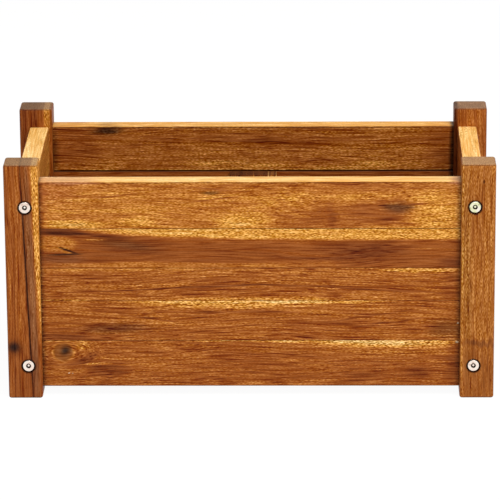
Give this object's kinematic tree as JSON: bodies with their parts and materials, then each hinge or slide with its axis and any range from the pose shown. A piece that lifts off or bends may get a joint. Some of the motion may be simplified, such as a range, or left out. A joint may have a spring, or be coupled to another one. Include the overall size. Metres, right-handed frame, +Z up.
{
  "type": "planter",
  "caption": "Rectangular wooden planter box on corner posts, with tongue-and-groove board walls, end walls clamped by connector bolts, and a slatted floor that drains.",
  "frame": {"origin": "on the ground at the centre of the four feet, under the middle of the planter", "axes": "+X along the length, to the right seen from the front; +Y from the front wall to the back wall; +Z up"},
  "size_m": [0.5, 0.25, 0.25],
  "materials": {
    "acacia_post": "oiled acacia, satin, brown end grain at the top",
    "acacia_long_wall": "oiled acacia, satin, grain along the board, pale sapwood along some edges",
    "acacia_end_wall": "oiled acacia, satin, grain along the board",
    "acacia_batten": "oiled acacia, satin, grain upright",
    "acacia_floor": "oiled acacia, satin",
    "zinc_plated_bolt": "zinc plated, bright, with a faint yellow and pink tint",
    "zinc_insert": "yellow zinc, hidden in the end grain"
  },
  "bodies": {
    "root": {"post_front_left": "acacia_post", "post_front_right": "acacia_post", "post_back_left": "acacia_post", "post_back_right": "acacia_post", "front_wall_board_1": "acacia_long_wall", "front_wall_board_2": "acacia_long_wall", "front_wall_board_3": "acacia_long_wall", "front_wall_board_4": "acacia_long_wall", "front_wall_board_5": "acacia_long_wall", "front_wall_batten": "acacia_batten", "back_wall_board_1": "acacia_long_wall", "back_wall_board_2": "acacia_long_wall", "back_wall_board_3": "acacia_long_wall", "back_wall_board_4": "acacia_long_wall", "back_wall_board_5": "acacia_long_wall", "back_wall_batten": "acacia_batten", "left_end_board_1": "acacia_end_wall", "left_end_board_2": "acacia_end_wall", "left_end_board_3": "acacia_end_wall", "left_end_board_4": "acacia_end_wall", "left_end_board_5": "acacia_end_wall", "left_end_batten": "acacia_batten", "right_end_board_1": "acacia_end_wall", "right_end_board_2": "acacia_end_wall", "right_end_board_3": "acacia_end_wall", "right_end_board_4": "acacia_end_wall", "right_end_board_5": "acacia_end_wall", "right_end_batten": "acacia_batten", "bolt_front_left_upper": "zinc_plated_bolt", "bolt_front_left_lower": "zinc_plated_bolt", "bolt_front_right_upper": "zinc_plated_bolt", "bolt_front_right_lower": "zinc_plated_bolt", "bolt_back_left_upper": "zinc_plated_bolt", "bolt_back_left_lower": "zinc_plated_bolt", "bolt_back_right_upper": "zinc_plated_bolt", "bolt_back_right_lower": "zinc_plated_bolt", "insert_front_left_upper": "zinc_insert", "insert_front_left_lower": "zinc_insert", "insert_front_right_upper": "zinc_insert", "insert_front_right_lower": "zinc_insert", "insert_back_left_upper": "zinc_insert", "insert_back_left_lower": "zinc_insert", "insert_back_right_upper": "zinc_insert", "insert_back_right_lower": "zinc_insert", "front_ledger": "acacia_floor", "back_ledger": "acacia_floor", "floor_slat_1": "acacia_floor", "floor_slat_2": "acacia_floor", "floor_slat_3": "acacia_floor", "floor_slat_4": "acacia_floor", "floor_slat_5": "acacia_floor", "floor_slat_6": "acacia_floor", "floor_slat_7": "acacia_floor", "floor_slat_8": "acacia_floor"}
  },
  "joints": []
}
